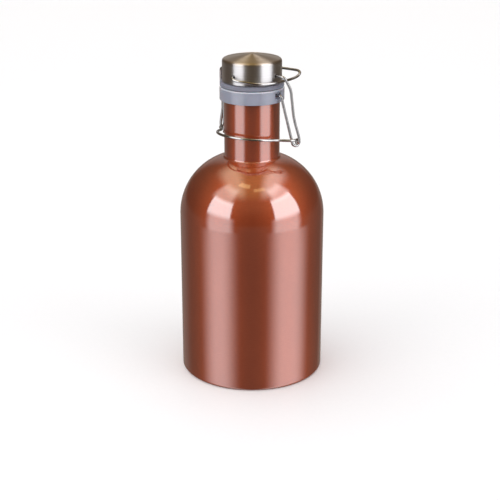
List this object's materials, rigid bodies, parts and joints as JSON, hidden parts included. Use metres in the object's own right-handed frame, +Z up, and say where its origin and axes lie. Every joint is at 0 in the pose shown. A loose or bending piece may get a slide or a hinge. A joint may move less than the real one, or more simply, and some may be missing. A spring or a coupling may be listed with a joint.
{
  "type": "growler",
  "caption": "Tall round steel bottle with a domed shoulder and short neck, closed by a steel-capped stopper under a two-wire swing-top toggle.",
  "frame": {"origin": "centre of the foot ring, on the surface the bottle stands on", "axes": "+Z up the bottle's axis, X along the closure's hinge axes, the lever's handle on the -Y side"},
  "size_m": [0.122, 0.122, 0.2756],
  "materials": {
    "copper_coat": "satin metallic",
    "base_steel": "satin",
    "cap_steel": "spun",
    "wire_steel": "polished",
    "collar_plastic": "semi-gloss",
    "core_plastic": "matte",
    "seal_silicone": "matte"
  },
  "bodies": {
    "bottle": {"bottle_wall": "copper_coat", "bottle_base": "base_steel", "bottle_shoulder": "copper_coat", "bottle_neck": "copper_coat", "neck_collar": "collar_plastic"},
    "lever": {"lever_wire": "wire_steel"},
    "bail": {"bail_wire": "wire_steel"},
    "stopper": {"cap_shell": "cap_steel", "cap_core": "core_plastic", "stopper_seal": "seal_silicone", "finger_loop": "wire_steel"}
  },
  "joints": [
    {"name": "lever_pivot", "type": "hinge", "parent": "bottle", "child": "lever", "pos_m": [0, 0, 0.2441], "axis": [-1, 0, 0], "range_deg": [0, 110]},
    {"name": "bail_pivot", "type": "hinge", "parent": "lever", "child": "bail", "pos_m": [0, 0.0103, 0.2045], "axis": [1, 0, 0], "range_deg": [0, 34.1]},
    {"name": "cap_pivot", "type": "hinge", "parent": "bail", "child": "stopper", "pos_m": [0, 0, 0.26], "axis": [1, 0, 0], "range_deg": [0, 75.9]}
  ],
  "couplings": [
    {"joint": "bail_pivot", "follows": "lever_pivot", "ratio": 0.31},
    {"joint": "cap_pivot", "follows": "lever_pivot", "ratio": 0.69}
  ]
}
